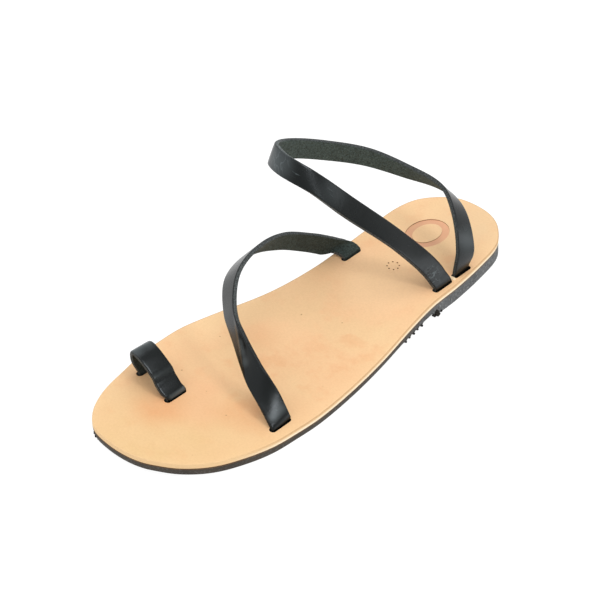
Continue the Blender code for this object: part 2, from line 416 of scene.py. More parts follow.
def strapGrain(n):
    look = strapLook
    at = n.add("ShaderNodeUVMap", {"uv_map": "run"})
    space = n.objectAt()
    rub = n.band(n.speck(n.scaled(at, (0.35, 1.0, 1.0)), 90.0, 4.0), 0.5, 0.85)
    scuff = n.band(n.speck(n.scaled(at, (0.15, 1.0, 1.0)), 900.0, 3.0), 0.62, 0.72)
    patch = n.band(n.speck(space, 60.0, 2.0), 0.58, 0.7) * 0.4
    for along, across, height, size in look["scuffs"]:
        patch = patch + n.near(space, put(along, across, height), size * mm)
    scuff = scuff * patch
    colour = n.tint(rub * 0.06, look["grain"], look["worn"])
    colour = n.tint(scuff * 0.8, colour, look["worn"])
    crinkle = n.speck(n.scaled(at, (1.0, 0.5, 1.0)), 240.0, 2.5)
    crinkle = n.band(crinkle, 0.46, 0.5) - n.band(crinkle, 0.5, 0.54)
    bent = 0.0
    for along, across, height, size in look["wrinkles"]:
        bent = n.near(space, put(along, across, height), size * mm) + bent
    crinkle = crinkle * bent
    # painted highlights along the crinkle lines
    colour = n.tint(crinkle * 0.55, colour, look["paintedHighlightTone"])
    # painted highlights on the grain, tinted in as lighter spots
    for along, across, height, size, strength in paintedHighlightSpots():
        highlit = n.near(space, put(along, across, height), size * mm) * strength
        colour = n.tint(highlit, colour, look["paintedHighlightTone"])
    pebble = n.cells(space, 2200.0) * 0.6 + n.speck(space, 3200.0, 2.0) * 0.4
    ripple = n.speck(n.scaled(at, (1.0, 0.3, 1.0)), 300.0, 3.0)
    normal = n.bump(pebble, 0.00004, 0.5, n.bump(ripple + crinkle * 0.8, 0.0002, 0.35))
    gloss = 0.2 + n.speck(at, 120.0, 3.0) * 0.12 + scuff * 0.15
    return {**skin(colour, gloss, 0.31, normal), "Specular Tint": look["specularTint"]}


def strapFlesh(n):
    look, space = strapLook, n.objectAt()
    nap = n.speck(space, 1100.0, 5.0, 0.7)
    colour = n.tint(n.band(nap, 0.3, 0.7), look["fleshDark"], look["flesh"])
    colour = n.tint(n.band(n.speck(space, 120.0, 3.0), 0.5, 0.75) * 0.3, colour, look["fleshDark"])
    # painted shade: each strap's flesh side is darkened toward black by its own share
    colour = n.tint(n.field("fleshShade"), colour, look["grain"])
    return skin(colour, 0.85, 0.25, n.bump(nap, 0.00025, 0.6))


def strapEdge(n):
    look, space = strapLook, n.objectAt()
    nap = n.speck(space, 1400.0, 4.0, 0.7)
    raw = n.tint(n.band(nap, 0.35, 0.7), look["edgeDark"], look["edge"])
    colour = n.tint(n.field("raw"), look["grain"], raw)
    return skin(colour, 0.8, 0.3, n.bump(nap, 0.0004, 0.9))


def strapFuzz(n):
    tone = n.speck(n.objectAt(), 700.0, 2.0)
    return skin(n.tint(tone, strapLook["edgeDark"], strapLook["fleshDark"]), 0.9, 0.1)


blackGrain = newFinish("blackGrain", strapGrain)
blackFlesh = newFinish("blackFlesh", strapFlesh)
blackEdge = newFinish("blackEdge", strapEdge)
blackFuzz = newFinish("blackFuzz", strapFuzz)


def strapSection():
    # points (wide, thick, finish of the side that follows), outer face first
    halfW, halfT = strapLook["width"] / 2.0, strapLook["thick"] / 2.0
    big, small, crown = strapLook["cornerOut"], strapLook["cornerIn"], strapLook["crown"]
    swell, middle = strapLook["edgeSwell"], strapLook["edgeMiddle"]
    grainSide, edgeSide, fleshSide = 0, 1, 2
    faceSteps, backSteps, bigSteps, smallSteps = 16, 12, 4, 3
    points = []
    for i in range(faceSteps + 1):
        w = (halfW - big) * (2.0 * i / faceSteps - 1.0)
        points.append((w, -halfT - crown * (1.0 - (w / halfW) ** 2), grainSide))
    for i in range(1, bigSteps + 1):  # the grain rolls over the outer corners
        angle = math.radians(90.0 * i / bigSteps)
        points.append((halfW - big + big * math.sin(angle), -halfT + big - big * math.cos(angle),
                       grainSide if i < 3 else edgeSide))
    points.append((halfW + swell, middle, edgeSide))
    for i in range(smallSteps + 1):
        angle = math.radians(90.0 * i / smallSteps)
        points.append((halfW - small + small * math.cos(angle), halfT - small + small * math.sin(angle),
                       edgeSide if i < 2 else fleshSide))
    for i in range(1, backSteps):
        points.append(((halfW - small) * (1.0 - 2.0 * i / backSteps), halfT, fleshSide))
    for i in range(smallSteps + 1):
        angle = math.radians(90.0 * i / smallSteps)
        points.append((-halfW + small - small * math.sin(angle), halfT - small + small * math.cos(angle),
                       fleshSide if i < 1 else edgeSide))
    points.append((-halfW - swell, middle, edgeSide))
    for i in range(bigSteps):
        angle = math.radians(90.0 * i / bigSteps)
        points.append((-halfW + big - big * math.cos(angle), -halfT + big - big * math.sin(angle),
                       edgeSide if i < 1 else grainSide))
    return points


def fibreTree():
    tree = newGrowth("edgeFibres", [("Spacing", "Float"), ("Length", "Float"), ("Girth", "Float"),
                                    ("Seed", "Int"), ("Finish", "Material")])
    n, tiltMost, (sizeLow, sizeHigh) = Nest(tree), strapLook["fibreTilt"], strapLook["fibreSizes"]
    line = n.add("GeometryNodeMeshToCurve", {}, {"Mesh": n.given("Geometry")})
    line = n.add("GeometryNodeResampleCurve", {"mode": "LENGTH"},
                 {"Curve": line, "Length": n.given("Spacing")})
    tilt = n.add("FunctionNodeRandomValue", {"data_type": "FLOAT_VECTOR"},
                 {0: (-tiltMost,) * 3, 1: (tiltMost,) * 3, "Seed": n.given("Seed")})
    way = n.add("ShaderNodeVectorMath", {"operation": "ADD"},
                {0: n.named("outward", "FLOAT_VECTOR"), 1: tilt})
    size = n.add("FunctionNodeRandomValue", {"data_type": "FLOAT"},
                 {2: sizeLow, 3: sizeHigh, "Seed": n.given("Seed") + 7}, 1)
    stretch = n.add("ShaderNodeCombineXYZ", {}, {"X": 1.0, "Y": 1.0, "Z": size * n.named("fuzz")})
    spike = n.cone(3, n.given("Girth"), 0.0, n.given("Length"))
    n.settle(n.spread(line, spike, n.toward(way), stretch))
    return tree


edgeFibres = fibreTree()


def strapBody(name, strap):
    rows = strap["rows"]
    centres = [Vector((r[0], r[1], leatherTop(r[0]) + r[2])) for r in rows]
    leans = [Vector(r[3:6]).normalized() for r in rows]
    keys = [0.0]
    for first, second in zip(centres, centres[1:]):
        keys.append(keys[-1] + (second - first).length)
    count = int(round(keys[-1] / strapLook["step"]))
    path = [through(centres, keys, keys[-1] * i / count) for i in range(count + 1)]
    lean = [through(leans, keys, keys[-1] * i / count).normalized() for i in range(count + 1)]
    steps, up = strapLook["footSteps"], Vector((0.0, 0.0, 1.0))
    drops = [strapLook["foot"] * k / steps for k in range(steps, 0, -1)]
    path = [path[0] - up * d for d in drops] + path + [path[-1] - up * d for d in reversed(drops)]
    lean = [lean[0]] * steps + lean + [lean[-1]] * steps
    last, upright = len(path) - 1, steps + 1  # the ends stand upright in their slots
    section = strapSection()
    lengths = [0.0]
    for first, second in zip(path, path[1:]):
        lengths.append(lengths[-1] + (second - first).length)
    girth = [0.0]
    for i in range(len(section)):
        a, b = section[i], section[(i + 1) % len(section)]
        girth.append(girth[-1] + math.hypot(b[0] - a[0], b[1] - a[1]))
    work = bmesh.new()
    run = work.loops.layers.uv.new("run")
    rings, brims = [], []
    runPace, widePace, thickPace = strapLook["waverPace"]
    brimSide, brimDepth = strapLook["brimInset"]
    for i, centre in enumerate(path):
        ahead = path[min(i + 1, last)] - path[max(i - 1, 0)]
        if i < upright or i > last - upright:
            ahead = up if i < upright else -up
        thick = ahead.normalized().cross(lean[i]).normalized()
        ring = []
        for w, t, _ in section:
            fold = 0.0
            for at, slant, depth, width in strap["creases"]:
                gap = (lengths[i] - at - slant * w / strapLook["width"]) / width
                fold += depth * math.exp(-gap * gap)
            waver = noise.noise(Vector((lengths[i] * runPace, w * widePace, t * thickPace)))
            wide = w + waver * strapLook["waver"] * (abs(w) > strapLook["waverFrom"])
            for side, start, end, amount in strap["taper"]:
                share = max(0.0, side * w * 2.0 / strapLook["width"])
                wide -= side * share * amount * ease((lengths[i] - start) / (end - start))
            spot = centre + lean[i] * wide + thick * (t + fold)
            ring.append(work.verts.new(put(*spot)))
        rings.append(ring)
        if upright < i < last - upright:  # loose fibres stand on the inner brim of both edges
            for side in (-1.0, 1.0):
                brim = centre + lean[i] * side * (strapLook["width"] / 2.0 - brimSide)
                brim += thick * (strapLook["thick"] / 2.0 - brimDepth)
                brims.append((side, put(*brim), put(*(brim + lean[i] * side)) - put(*brim), lengths[i]))
    total = len(section)
    for i, (first, second) in enumerate(zip(rings, rings[1:])):
        for j in range(total):
            k = (j + 1) % total
            face = work.faces.new((first[j], first[k], second[k], second[j]))
            face.material_index = section[j][2]
            marks = ((lengths[i], girth[j]), (lengths[i], girth[j + 1]),
                     (lengths[i + 1], girth[j + 1]), (lengths[i + 1], girth[j]))
            for loop, mark in zip(face.loops, marks):
                loop[run].uv = (mark[0] * mm, mark[1] * mm)
    for ring in (rings[0], rings[-1]):
        work.faces.new(ring).material_index = 1
    made = closedObject(name, work, blackGrain, blackEdge, blackFlesh)
    low, high, start, end = strap["raw"]
    setField(made, "raw", lambda s, x, z: low + (high - low) * ease((start - s) / (start - end)))
    setField(made, "fleshShade", lambda s, x, z: strap["fleshShade"])
    smoothShade(made, 50.0)
    print(name + ":", len(made.data.polygons), "faces,", round(lengths[-1]), "mm long")
    return made, fuzzBody(name.replace("leather", "fuzz"), brims, strap["fuzz"])


def fuzzBody(name, brims, patches):
    work = bmesh.new()
    outward = work.verts.layers.float_vector.new("outward")
    fuzz = work.verts.layers.float.new("fuzz")
    for side in (-1.0, 1.0):
        before = None
        for edge, spot, way, at in brims:
            if edge != side:
                continue
            here = work.verts.new(spot)
            here[outward] = way / mm
            here[fuzz] = strapLook["fibreGain"]
            for patchSide, start, end, gain in patches:
                if patchSide == side and start < at < end:
                    here[fuzz] = gain
            if before:
                work.edges.new((before, here))
            before = here
    made = toObject(name, work)
    return grown(made, edgeFibres, {
        "Spacing": strapLook["fibreSpacing"] * mm, "Length": strapLook["fibreLength"] * mm,
        "Girth": strapLook["fibreGirth"] * mm, "Seed": strapLook["fibreSeed"], "Finish": blackFuzz})


# rows: along, across, height over the footbed, lean along, across and up
# creases: distance, slant, depth, width
# fuzz: side, start, end, length; taper: side, start, end, amount
# raw: how light the cut edges are, toe end, heel end, and where it changes
# fleshShade: painted shade, how far the flesh side is darkened

toeLoop = {
    "rows": [
        (214.0, -5.0, 1.0, -1.0, 0.0, 0.0), (215.0, -7.5, 3.5, -1.0, 0.1, 0.0),
        (214.5, -15.0, 10.5, -1.0, 0.1, 0.0), (215.0, -21.5, 16.0, -1.0, 0.1, 0.0),
        (215.0, -26.0, 17.5, -1.0, 0.1, 0.0), (214.0, -29.0, 14.5, -1.0, 0.0, 0.0),
        (212.5, -30.0, 8.0, -1.0, 0.0, 0.0), (210.0, -29.0, 1.0, -1.0, 0.0, 0.0)],
    "creases": [(12.0, 1.0, 0.3, 1.5), (15.5, 1.0, -0.45, 1.3)],
    "fuzz": [], "taper": [], "raw": (0.35, 0.35, 260.0, 0.0), "fleshShade": 0.55,
}
forefootStrap = {
    "rows": [
        (194.0, 45.5, 1.0, -1.0, 0.0, 0.1), (192.5, 37.0, 8.5, -1.0, 0.1, 0.4),
        (191.0, 25.0, 17.5, -0.6, 0.3, 1.0), (185.0, 9.5, 26.0, 0.0, 0.6, 1.0),
        (177.0, -4.5, 31.0, 0.1, 0.9, 1.0), (161.0, -18.5, 35.5, -0.1, 1.0, 1.0),
        (138.0, -26.5, 33.5, 0.0, 0.8, 1.0), (115.5, -30.0, 24.0, -0.2, 0.4, 1.0),
        (97.5, -27.5, 13.5, -0.4, 0.4, 1.0), (85.5, -25.0, 5.5, -1.0, 0.5, 0.9),
        (78.5, -21.5, 2.0, -1.0, 0.1, 0.1), (77.5, -16.5, 1.0, -1.0, 0.0, 0.0)],
    "creases": [(42.0, 28.0, -0.3, 4.0), (172.0, 3.0, 0.3, 2.0)],
    "fuzz": [(1.0, 20.0, 80.0, 0.6)], "taper": [], "raw": (0.1, 0.45, 188.0, 178.0), "fleshShade": 0.3,
}
ankleStrap = {
    "rows": [
        (65.0, 35.0, 1.0, -1.0, 0.0, 0.0), (69.0, 29.5, 10.5, -1.0, -0.2, 0.2),
        (82.5, 18.0, 30.5, -1.0, -0.5, 0.3), (100.0, 1.0, 52.0, -1.0, -0.6, 0.7),
        (112.0, -11.5, 67.5, -0.6, -0.52, 1.0), (118.5, -25.0, 75.0, -0.5, -0.3, 1.0),
        (114.1, -36.5, 74.0, -0.4, 0.09, 1.0), (97.0, -41.5, 65.0, -0.2, 0.2, 1.0),
        (75.5, -39.0, 53.5, -0.2, 0.3, 1.0), (53.0, -29.0, 42.5, 0.0, 0.3, 1.0),
        (42.5, -11.5, 37.0, 0.3, 0.4, 1.0), (37.5, 9.5, 34.0, 0.9, 0.5, 1.0),
        (41.0, 23.5, 28.0, 1.0, 0.1, 0.5), (47.5, 34.5, 14.0, 1.0, -0.1, 0.3),
        (49.5, 34.5, 1.0, 1.0, 0.0, 0.0)],
    "creases": [
        (8.0, 1.0, 0.1, 1.2), (11.0, -5.0, 0.07, 0.9), (13.5, 4.0, 0.07, 1.0), (17.0, 8.0, 0.07, 0.9),
        (21.0, 0.0, -0.4, 7.0), (113.0, 4.0, 0.15, 3.0), (121.0, -4.0, 0.12, 3.0)],
    "fuzz": [(1.0, 245.0, 310.0, 1.4), (-1.0, 245.0, 310.0, 0.8)],
    "taper": [(-1.0, 281.0, 288.0, 1.3)], "raw": (0.85, 0.35, 113.0, 100.0), "fleshShade": 0.0,
}

loopPiece, loopFuzz = strapBody("toe_loop_leather", toeLoop)
forefootPiece, forefootFuzz = strapBody("forefoot_strap_leather", forefootStrap)
anklePiece, ankleFuzz = strapBody("ankle_strap_leather", ankleStrap)


# footbed of natural leather

footbedLook = {
    "honey": rgb(241, 201, 152), "rose": rgb(243, 189, 143), "pale": rgb(248, 212, 163),
    "blushAndShade": rgb(234, 165, 114), "shade": rgb(224, 172, 130), "paintedLight": rgb(255, 212, 164),
    "straw": rgb(231, 196, 141), "ash": rgb(232, 200, 156),
    "poreTone": rgb(166, 108, 66), "burn": rgb(120, 66, 40), "tooled": rgb(226, 168, 130),
    "edgeCream": rgb(253, 234, 202), "edgeTan": rgb(236, 199, 150), "edgeBrown": rgb(150, 96, 60),
    "slotShade": rgb(26, 22, 20), "slotBrown": rgb(92, 60, 42),
    "grainSize": 1500.0, "poreSize": 110.0, "blushAndShadeReach": 13.0, "rimReach": 6.0, "rimEnds": 0.8,
    "creamEnd": (190.0, 45.0),  # where the edge turns tan, over what length
    "slotLead": (0.6, 0.35), "slotLength": 13.0, "slotWidth": 3.4,
    "slotLip": [(-6.0, 0.0), (-0.6, 0.0), (-0.2, 0.1), (0.1, 0.35), (0.8, 1.0)],  # height, flare
    "slotSwell": (0.16, 1.6, 1.8),  # height, distance from the slot, reach
    "sway": (23.0, 19.0, 3.7), "swayHeight": 0.1,
    "pores": [(129.0, -3.0, 0.7), (120.0, 16.5, 0.6), (199.5, -16.0, 0.7)],  # along, across, size
    "patches": [  # tone, along, across, size, strength
        ("straw", 243.0, 8.0, 62.0, 0.9), ("straw", 205.0, 40.0, 40.0, 0.5),
        # the three patches in the blush tone, beside the straps, are painted shade
        ("blushAndShade", 226.0, -4.0, 20.0, 1.0), ("blushAndShade", 201.0, 29.0, 17.0, 0.9),
        ("blushAndShade", 155.0, -7.0, 15.0, 0.5), ("rose", 214.0, 12.0, 20.0, 0.6),
        ("shade", 222.0, -21.0, 12.0, 0.35), ("pale", 93.0, 3.0, 12.0, 0.4),
        # the four palest patches, on the waist and heel, are painted light that lifts the shade the
        # straps cast
        ("rose", 178.0, -18.0, 26.0, 0.3), ("paintedLight", 132.0, -8.0, 42.0, 0.8),
        ("paintedLight", 88.0, 12.0, 40.0, 1.0), ("paintedLight", 80.0, -2.0, 26.0, 0.7),
        ("paintedLight", 40.0, -4.0, 28.0, 1.0), ("ash", 14.0, 14.0, 40.0, 0.9),
        ("rose", 198.0, -4.0, 24.0, 0.6), ("pale", 168.0, -28.0, 16.0, 0.8)],
    "creases": [  # along, across, turn in degrees, reach along it, reach over it, height
        (97.0, 12.0, 70.0, 16.0, 3.2, -0.14), (103.0, 8.0, 62.0, 12.0, 3.0, 0.1),
        (150.0, 16.0, 84.0, 26.0, 4.0, -0.12), (166.0, 2.0, 92.0, 30.0, 5.0, -0.1),
        (40.0, 6.0, 0.0, 30.0, 18.0, -0.2), (186.0, 8.0, 0.0, 30.0, 30.0, -0.2),
        (57.5, 35.2, 90.0, 4.0, 2.2, 0.35)],
}
slotAlong, slotAcross = footbedLook["slotLead"]
slots = [(row[0] + slotAlong, row[1] + slotAcross) for strap in (toeLoop, forefootStrap, ankleStrap)
         for row in (strap["rows"][0], strap["rows"][-1])]


def slotGap(along, across):
    gaps = []
    for s, x in slots:
        run = max(0.0, abs(along - s) - (footbedLook["slotLength"] - footbedLook["slotWidth"]) / 2.0)
        gaps.append(math.hypot(run, across - x) - footbedLook["slotWidth"] / 2.0)
    return min(gaps)


def rimGap(along, across):
    inner, outer = edgesAt(along)
    ends = min(along, soleSizes["length"] - along) * footbedLook["rimEnds"]
    return max(0.0, min(across - inner, outer - across, ends))


def footbedTop(n):
    look, at = footbedLook, n.objectAt()
    cloud = n.band(n.speck(at, 24.0, 4.0), 0.36, 0.66)
    drift = n.band(n.speck(n.scaled(at, (1.0, 0.35, 1.0)), 55.0, 3.0), 0.42, 0.75)
    colour = n.tint(cloud * 0.6, look["honey"], look["rose"])
    colour = n.tint(drift * 0.35, colour, look["pale"])
    colour = n.tint(n.band(n.speck(at, 85.0, 3.0), 0.5, 0.7) * 0.3, colour, look["blushAndShade"])
    # pinker near the slots: partly blush, partly painted shade around the strap ends
    colour = n.tint(n.field("blushAndShade") * 0.4, colour, look["rose"])
    colour = n.tint(n.field("rim") * 0.4, colour, look["pale"])
    # tone patches, among them painted shade beside the straps and painted light on the waist and heel
    for tone, along, across, size, strength in look["patches"]:
        patch = n.near(at, put(along, across, leatherTop(along)), size * mm) * (0.4 + cloud * 0.6)
        colour = n.tint(patch * strength, colour, look[tone])
    fleck = n.band(n.cells(at, look["poreSize"]), 0.06, 0.02)
    fleck = fleck * n.band(n.speck(at, 9.0, 1.0), 0.54, 0.62)
    fine = n.band(n.speck(at, 900.0, 2.0), 0.3, 0.75)
    for along, across, size in look["pores"]:
        fleck = fleck + n.near(at, put(along, across, leatherTop(along)), size * mm)
    colour = n.tint(fleck * 0.7, colour, look["poreTone"])
    colour = n.tint(fine * 0.07, colour, look["poreTone"])
    pebble = n.cells(at, look["grainSize"]) * 0.5 + n.speck(at, 2600.0, 3.0) * 0.5
    soft = n.speck(at, 160.0, 3.0)
    normal = n.bump(pebble, 0.00006, 0.5, n.bump(soft, 0.0004, 0.3))
    gloss = 0.46 + n.speck(at, 70.0, 3.0) * 0.16
    return skin(colour, gloss, 0.25, normal)


def footbedEdge(n):
    look, at = footbedLook, n.objectAt()
    depth = n.field("depth")
    fibre = n.speck(n.scaled(at, (1.0, 1.0, 4.0)), 700.0, 4.0)
    cream = n.field("cream")
    colour = n.tint(n.band(depth, 0.2, 0.75) * cream, look["edgeTan"], look["edgeCream"])
    colour = n.tint(n.band(depth, 0.3, 0.1) * cream * 0.35, colour, look["edgeBrown"])
    colour = n.tint(n.band(depth, 0.92, 1.0) * 0.6, colour, look["edgeBrown"])
    colour = n.tint(n.band(fibre, 0.5, 0.8) * 0.15, colour, look["edgeBrown"])
    return skin(colour, 0.75, 0.25, n.bump(fibre, 0.00025, 0.6))


def footbedSlot(n):
    look, fray = footbedLook, n.speck(n.objectAt(), 900.0, 4.0)
    # painted shade: slot walls near black, flecked with brown fray
    colour = n.tint(n.band(fray, 0.5, 0.85), look["slotShade"], look["slotBrown"])
    return skin(colour, 0.85, 0.15, n.bump(fray, 0.0003, 0.8))


def footbedTooled(n):
    look, press = footbedLook, n.speck(n.objectAt(), 1100.0, 3.0)
    cloud = n.speck(n.objectAt(), 90.0, 3.0)
    colour = n.tint(n.band(cloud, 0.3, 0.75) * 0.6, look["tooled"], look["rose"])
    return skin(colour, 0.45, 0.35, n.bump(press, 0.0002, 0.5))


def footbedBurnt(n):
    look, char = footbedLook, n.speck(n.objectAt(), 500.0, 4.0)
    colour = n.tint(n.band(char, 0.3, 0.8), look["burn"], look["poreTone"])
    return skin(colour, 0.6, 0.3, n.bump(char, 0.0002, 0.5))


tanLeather = newFinish("tanLeather", footbedTop)
tanEdge = newFinish("tanEdge", footbedEdge)
tanSlot = newFinish("tanSlot", footbedSlot)
tanTooled = newFinish("tanTooled", footbedTooled)
tanBurnt = newFinish("tanBurnt", footbedBurnt)


def footbedHeight(along, across, share):
    long, wide, draw = footbedLook["sway"]
    lift = noise.noise(Vector((along / long, across / wide, draw))) * footbedLook["swayHeight"]
    for at, side, turn, reach, spread, height in footbedLook["creases"]:
        angle = math.radians(turn)
        run = (along - at) * math.cos(angle) + (across - side) * math.sin(angle)
        over = (across - side) * math.cos(angle) - (along - at) * math.sin(angle)
        lift += height * math.exp(-(run / reach) ** 2 - (over / spread) ** 2)
    swell, away, reach = footbedLook["slotSwell"]
    lift += swell * math.exp(-((slotGap(along, across) - away) / reach) ** 2)
    return leatherTop(along) - share * soleSizes["leather"] + lift * (1.0 - share)


leatherRims = [  # inset, share of depth, lift
    (0.55, 0.0, 0.0), (0.3, 0.0, -0.02), (0.12, 0.0, -0.1), (0.03, 0.0, -0.22), (0.0, 0.0, -0.4),
    (0.0, 0.5, 0.0), (0.0, 1.0, 0.4), (0.05, 1.0, 0.15), (0.25, 1.0, 0.02), (0.7, 1.0, 0.0)]
leatherBody = layerBody(evenStations(), leatherRims, footbedHeight, lambda s: 0.0,
                        columns=64, wallSlot=1, underSlot=1)
footbed = toObject("footbed_leather", leatherBody, tanLeather, tanEdge)


def slotCutter():
    work = bmesh.new()
    for along, across in slots:
        rings = []
        for height, flare in footbedLook["slotLip"]:
            ring = stadium(footbedLook["slotLength"] + flare, footbedLook["slotWidth"] + flare, sides=9)
            rings.append([work.verts.new(put(along + s, across + x, leatherTop(along) + height))
                          for s, x in ring])
        ringTube(work, rings)
    return closedObject("slotCutter", work, tanSlot)


heelMark = {
    "along": 37.0, "across": 0.5, "outer": (27.0, 21.0), "inner": (18.5, 13.0),
    "depth": 0.42, "clear": 0.8, "draw": 0.12, "steps": 96,
}


def ovalCutter():
    # plain oval border, pressed in as one band
    mark, work, rings = heelMark, bmesh.new(), []
    top, low = leatherTop(mark["along"]) + mark["clear"], leatherTop(mark["along"]) - mark["depth"]
    profile = [("outer", mark["draw"], top), ("outer", -mark["draw"], low),
               ("inner", mark["draw"], low), ("inner", -mark["draw"], top)]
    for i in range(mark["steps"]):
        angle = 2.0 * math.pi * i / mark["steps"]
        ring = []
        for oval, reach, height in profile:
            long, wide = mark[oval]
            along = mark["along"] + math.cos(angle) * (long / 2.0 + reach)
            across = mark["across"] + math.sin(angle) * (wide / 2.0 + reach)
            ring.append(work.verts.new(put(along, across, height)))
        rings.append(ring)
    sides = len(profile)
    for first, second in zip(rings, rings[1:] + rings[:1]):
        for j in range(sides):  # steep sides are burnt, the floor of the band is not
            k = (j + 1) % sides
            work.faces.new((first[j], first[k], second[k], second[j])).material_index = j % 2 == 0
    return closedObject("ovalCutter", work, tanTooled, tanBurnt)


punchMark = {"along": 70.0, "across": 6.0, "dots": 8, "ring": 3.2, "dot": 0.5, "depth": 0.5}


def punchTree():
    tree = newGrowth("punchRing", [("Dots", "Int"), ("Ring", "Float"), ("Dot", "Float"),
                                   ("Depth", "Float"), ("Place", "Vector"), ("Finish", "Material")])
    n = Nest(tree)
    ring = n.add("GeometryNodeMeshCircle", {}, {"Vertices": n.given("Dots"), "Radius": n.given("Ring")})
    # wider at the top, and deep enough to reach past the surface
    punch = n.cone(12, n.given("Dot") * 0.5, n.given("Dot") * 1.5, n.given("Depth") * 2.0)
    n.settle(n.add("GeometryNodeTransform", {},
                   {"Geometry": n.spread(ring, punch), "Translation": n.given("Place")}))
    return tree


def punchCutter():
    mark = punchMark
    made = toObject("punchCutter", bmesh.new())
    low = put(mark["along"], mark["across"], leatherTop(mark["along"]) - mark["depth"])
    return grown(made, punchTree(), {
        "Dots": mark["dots"], "Ring": mark["ring"] * mm, "Dot": mark["dot"] * mm,
        "Depth": mark["depth"] * mm, "Place": low, "Finish": tanBurnt})


cutWith(footbed, slotCutter(), ovalCutter(), punchCutter())
blushAndShadeReach, (tanStart, tanLength) = footbedLook["blushAndShadeReach"], footbedLook["creamEnd"]
setField(footbed, "blushAndShade", lambda s, x, z: math.exp(-(max(0.0, slotGap(s, x)) / blushAndShadeReach) ** 2))
setField(footbed, "rim", lambda s, x, z: math.exp(-rimGap(s, x) / footbedLook["rimReach"]))
setField(footbed, "depth", lambda s, x, z: (leatherTop(s) - z) / soleSizes["leather"])
setField(footbed, "cream", lambda s, x, z: 1.0 - ease((s - tanStart) / tanLength))
smoothShade(footbed, 40.0)
print("footbed:", len(footbed.data.polygons), "faces")


# torn bridge of leather between the two heel slots

slotBridge = {
    "along": 57.6, "across": 35.6, "length": 2.6, "width": 4.6, "height": 1.5, "sink": 0.45,
    "rough": 0.35, "tearPace": 2.1, "tearDraw": (4.0, 1.0, 7.0),
}


def bridgeBody():
    look, work = slotBridge, bmesh.new()
    bmesh.ops.create_icosphere(work, subdivisions=4, radius=1.0)
    base = leatherTop(look["along"]) - look["sink"]
    for vert in work.verts:
        tear = noise.noise(vert.co * look["tearPace"] + Vector(look["tearDraw"]))
        spot = vert.co * (1.0 + look["rough"] * tear)
        vert.co = put(look["along"] + spot.x * look["length"] / 2.0,
                      look["across"] + spot.y * look["width"] / 2.0, base + spot.z * look["height"])
    made = toObject("footbed_bridge", work, tanEdge)
    for name, value in (("depth", 0.5), ("cream", 1.0)):
        setField(made, name, lambda s, x, z: value)
    smoothShade(made, 50.0)
    return made


bridge = bridgeBody()


# outsole of moulded rubber

outsoleLook = {
    "brown": rgb(68, 61, 53), "grey": rgb(94, 96, 97), "dust": rgb(150, 152, 152),
    "deep": rgb(24, 23, 22), "glue": rgb(120, 92, 66), "speckSize": 850.0,
    "greyEnd": (70.0, 40.0),  # where the grey of the heel ends, over what length
    "ribShade": (0.1, 0.4), "breastShade": (2.0, 3.6, 1.5),  # dark hollows
    "ribs": (87.0, 105.0, 3.6, 1.5),  # first, last, pitch, height
    "bar": (154.0, 3.6),  # along, width
    "draft": 0.4, "barRound": 0.1, "nearest": 0.6,  # run of a step's wall, gap between sections
    "tuck": [(0.0, -0.2), (60.0, -0.3), (78.0, -0.2), (90.0, 0.2), (115.0, 0.6), (150.0, 0.5),
             (190.0, 0.5), (215.0, 0.1), (240.0, 0.3), (260.0, 0.6)],  # along, how far the wall leans in
    "grooves": ((161.0, 221.0, 7.5), (14.0, 68.0, 9.0)),  # first, last, pitch
    "grooveWidth": 2.2, "grooveDepth": 1.2, "rim": 6.5,
}


def rubberFinish(n):
    look, at = outsoleLook, n.objectAt()
    heel = n.field("heel")
    crumbs = n.band(n.speck(at, look["speckSize"], 2.0), 0.52, 0.68)
    pits = n.band(n.cells(at, 600.0), 0.3, 0.1)
    colour = n.tint(heel, look["brown"], look["grey"])
    colour = n.tint(n.band(n.speck(at, 90.0, 4.0), 0.35, 0.75) * 0.35, colour, look["deep"])
    colour = n.tint(crumbs * (0.12 + heel * 0.4), colour, look["dust"])
    colour = n.tint(pits * (0.15 + heel * 0.4), colour, look["deep"])
    colour = n.tint(n.band(n.field("fall"), 0.16, 0.04) * 0.6, colour, look["glue"])
    colour = n.tint(n.field("shade") * 0.9, colour, look["deep"])
    normal = n.bump(n.speck(at, 1300.0, 3.0) - pits * 0.6, 0.00025, 0.5)
    return skin(colour, 0.72, 0.3, normal)


# painted shade: a near-black copy of the rubber for the underside, grooves and lugs
def treadShadeFinish(n):
    look, at = outsoleLook, n.objectAt()
    crumbs = n.speck(at, look["speckSize"], 3.0)
    colour = n.tint(n.band(crumbs, 0.35, 0.75) * 0.5, look["deep"], look["brown"])
    return skin(colour, 0.85, 0.25, n.bump(crumbs, 0.0003, 0.6))


darkRubber = newFinish("darkRubber", rubberFinish)
treadShade = newFinish("treadShade", treadShadeFinish)


def rubberBottom(along):
    if along <= soleSizes["breast"]:
        return 0.0
    low = rubberTop(along) - soleSizes["rubber"]
    first, last, pitch, height = outsoleLook["ribs"]
    if first <= along <= last:
        phase = (along - first) / pitch
        low -= height * (1.0 - abs(2.0 * (phase - math.floor(phase)) - 1.0))
    at, width = outsoleLook["bar"]
    if abs(along - at) < width / 2.0:
        low = 0.0
    return max(0.0, low)


def rubberStations():
    first, last, pitch, _ = outsoleLook["ribs"]
    draft, rounded, nearest = (outsoleLook[key] for key in ("draft", "barRound", "nearest"))
    marks = [soleSizes["breast"], soleSizes["breast"] + draft]
    marks += [first + i * pitch / 4.0 for i in range(int(round(4 * (last - first) / pitch)) + 1)]
    at, width = outsoleLook["bar"]
    low, high = at - width / 2.0, at + width / 2.0
    marks += [low - draft, low + rounded, high - rounded, high + draft]
    kept = [s for s in evenStations()
            if min(abs(s - m) for m in marks) > nearest and not first < s < last]
    return sorted(kept + marks)


def rubberHeight(along, across, share):
    return rubberTop(along) * (1.0 - share) + rubberBottom(along) * share


